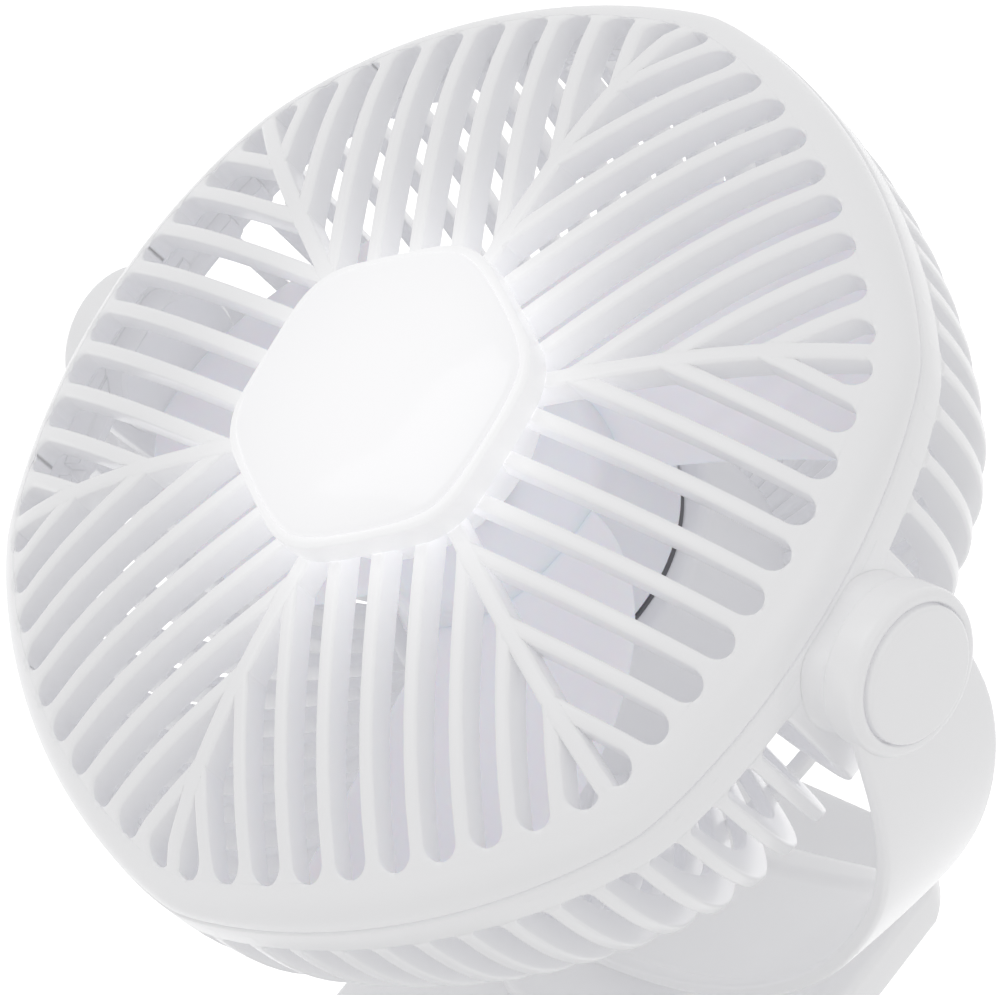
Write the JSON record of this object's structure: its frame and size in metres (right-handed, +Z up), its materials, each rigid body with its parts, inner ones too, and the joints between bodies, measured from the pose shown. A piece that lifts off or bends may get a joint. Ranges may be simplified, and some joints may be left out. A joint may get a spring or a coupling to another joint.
{
  "type": "portable camping fan",
  "caption": "Rechargeable clip-on fan with a hub lamp: rounded-hexagon caged head tilting in a U yoke that swivels on a spring clip and battery base.",
  "frame": {"origin": "on the underside of the rubber sole, straight below the tilt axis", "axes": "+Z up, -Y to the front that the air and light leave by, +X towards the right tilt knob seen from behind the fan"},
  "size_m": [0.1632, 0.1248, 0.197],
  "materials": {
    "white_shell": "white satin moulded ABS",
    "white_inner": "plain white moulded ABS inside the housings",
    "frosted_lens": "frosted white diffuser",
    "ice_fan": "translucent pale blue-white plastic",
    "steel": "plain zinc-plated steel",
    "motor_steel": "drawn steel can",
    "dark_rubber": "soft dark rubber",
    "board": "green circuit board",
    "led_board": "white circuit board with yellow emitters",
    "cell_wrap": "shrink-wrapped battery cells",
    "button_white": "white moulded button"
  },
  "bodies": {
    "base": {"base_shell": "white_shell", "base_tray": "white_inner", "lower_pad": "dark_rubber", "hinge_pin": "steel", "clip_spring": "steel", "battery_cells": "cell_wrap", "control_board": "board", "charge_socket": "steel", "rubber_sole": "dark_rubber", "base_screws": "steel"},
    "jaw": {"upper_jaw": "white_shell", "upper_pad": "dark_rubber"},
    "yoke": {"yoke": "white_shell", "knob_right": "white_shell", "knob_left": "white_shell", "tilt_washers": "dark_rubber", "turntable": "white_shell", "swivel_pin": "steel", "swivel_washer": "steel", "swivel_nut": "steel"},
    "head": {"front_grille": "white_shell", "lamp_housing": "white_shell", "lamp_lens": "frosted_lens", "led_board": "led_board", "rear_shell": "white_shell", "motor_mount": "white_inner", "motor_can": "motor_steel", "rear_cap": "white_shell", "shell_screws": "steel", "pivot_pins": "steel"},
    "rotor": {"fan_blade": "ice_fan", "motor_shaft": "steel", "shaft_nut": "steel"},
    "fan_button": {"fan_button": "button_white"},
    "lamp_button": {"lamp_button": "button_white"}
  },
  "joints": [
    {"name": "clip_open", "type": "hinge", "parent": "base", "child": "jaw", "pos_m": [0, 0.02899, 0.03585], "axis": [-1, 0, 0], "range_deg": [0, 35], "stiffness_Nm_per_rad": 1.2, "springref_deg": -22.92},
    {"name": "yoke_swivel", "type": "hinge", "parent": "jaw", "child": "yoke", "pos_m": [0, 0, 0.13597], "axis": [0, -0.342, 0.9397], "range_deg": [-180, 180]},
    {"name": "head_tilt", "type": "hinge", "parent": "yoke", "child": "head", "pos_m": [0, 0, 0.13597], "axis": [1, 0, 0], "range_deg": [-90, 90]},
    {"name": "fan_spin", "type": "hinge", "parent": "head", "child": "rotor", "pos_m": [-0.00195, 0, 0.13597], "axis": [0, -0.7071, 0.7071], "continuous": true},
    {"name": "fan_button_press", "type": "slide", "parent": "base", "child": "fan_button", "axis": [0, 1, 0], "range_m": [0, 0.0012], "stiffness_N_per_m": 400, "springref_m": -0.0008},
    {"name": "lamp_button_press", "type": "slide", "parent": "base", "child": "lamp_button", "axis": [0, 1, 0], "range_m": [0, 0.0012], "stiffness_N_per_m": 400, "springref_m": -0.0008}
  ]
}
